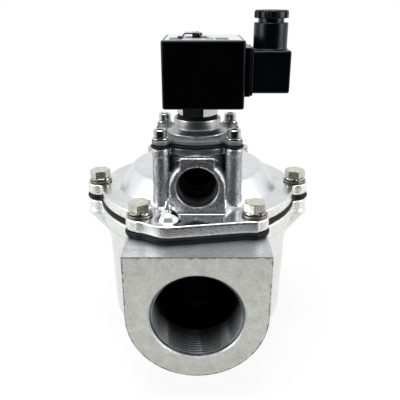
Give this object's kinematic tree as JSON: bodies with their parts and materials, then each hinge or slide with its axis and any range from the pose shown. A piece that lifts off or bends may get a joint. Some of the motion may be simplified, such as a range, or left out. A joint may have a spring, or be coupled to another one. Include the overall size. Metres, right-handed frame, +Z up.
{
  "type": "dust collector pulse valve",
  "caption": "Right-angle diaphragm pulse valve with cast body and bonnet, pilot diaphragm stage, solenoid coil and plug connector, for blasting air into filter bags",
  "frame": {"origin": "under the middle of the valve's whole width and depth, on the plane of the outlet face", "axes": "+Z up through the coil; -Y is the way the inlet faces; +X is the side with the plug connector"},
  "size_m": [0.1676, 0.1696, 0.2427],
  "materials": {
    "cast_aluminium": "as-cast and blasted aluminium with a few machined faces",
    "black_rubber": "black nitrile rubber",
    "zinc_steel": "yellowish zinc-plated steel",
    "stainless_steel": "turned and pressed stainless steel",
    "black_plastic": "moulded black plastic",
    "grey_plastic": "moulded grey plastic",
    "plate_metal": "printed silver metal plate"
  },
  "bodies": {
    "valve": {"bonnet": "cast_aluminium", "bonnet_bolt_1": "zinc_steel", "bonnet_bolt_2": "zinc_steel", "bonnet_bolt_3": "zinc_steel", "bonnet_bolt_4": "zinc_steel", "bonnet_bolt_5": "zinc_steel", "bonnet_bolt_6": "zinc_steel", "bonnet_flat_washer_1": "zinc_steel", "bonnet_flat_washer_2": "zinc_steel", "bonnet_flat_washer_3": "zinc_steel", "bonnet_flat_washer_4": "zinc_steel", "bonnet_flat_washer_5": "zinc_steel", "bonnet_flat_washer_6": "zinc_steel", "bonnet_spring_washer_1": "zinc_steel", "bonnet_spring_washer_2": "zinc_steel", "bonnet_spring_washer_3": "zinc_steel", "bonnet_spring_washer_4": "zinc_steel", "bonnet_spring_washer_5": "zinc_steel", "bonnet_spring_washer_6": "zinc_steel", "core_spring": "stainless_steel", "core_tube": "stainless_steel", "main_diaphragm": "black_rubber", "main_spring": "stainless_steel", "pilot_cover": "cast_aluminium", "pilot_diaphragm": "black_rubber", "pilot_screw_1": "zinc_steel", "pilot_screw_2": "zinc_steel", "pilot_screw_3": "zinc_steel", "pilot_screw_4": "zinc_steel", "pilot_spring": "stainless_steel", "pilot_washer_1": "zinc_steel", "pilot_washer_2": "zinc_steel", "pilot_washer_3": "zinc_steel", "pilot_washer_4": "zinc_steel", "retaining_clip": "stainless_steel", "tube_seal": "black_rubber", "valve_body": "cast_aluminium"},
    "main_piston": {"main_lower_disc": "stainless_steel", "main_upper_plate": "stainless_steel", "main_hub_bolt": "stainless_steel", "main_hub_nut": "stainless_steel"},
    "pilot_piston": {"pilot_lower_plate": "stainless_steel", "pilot_upper_plate": "stainless_steel", "pilot_rivet": "stainless_steel"},
    "core": {"core": "stainless_steel", "core_seat_disc": "black_rubber"},
    "coil_unit": {"coil": "black_plastic", "coil_nameplate": "plate_metal", "connector_gasket": "black_rubber", "connector_housing": "black_plastic", "connector_insert": "grey_plastic", "connector_screw": "zinc_steel", "gland_seal": "black_rubber", "gland_washer": "stainless_steel", "gland_nut": "black_plastic"}
  },
  "joints": [
    {"name": "main_lift", "type": "slide", "parent": "valve", "child": "main_piston", "axis": [0, 0, 1], "range_m": [0, 0.0085], "stiffness_N_per_m": 800, "springref_m": -0.006, "deforming": ["main_diaphragm", "main_spring"]},
    {"name": "pilot_lift", "type": "slide", "parent": "valve", "child": "pilot_piston", "axis": [0, 0, 1], "range_m": [0, 0.0022], "stiffness_N_per_m": 500, "springref_m": -0.003, "deforming": ["pilot_diaphragm", "pilot_spring"]},
    {"name": "core_lift", "type": "slide", "parent": "valve", "child": "core", "axis": [0, 0, 1], "range_m": [0, 0.0015], "stiffness_N_per_m": 400, "springref_m": -0.006, "deforming": ["core_spring"]},
    {"name": "coil_turn", "type": "hinge", "parent": "valve", "child": "coil_unit", "pos_m": [0, -0.01181, 0.2064], "axis": [0, 0, 1], "continuous": true}
  ]
}
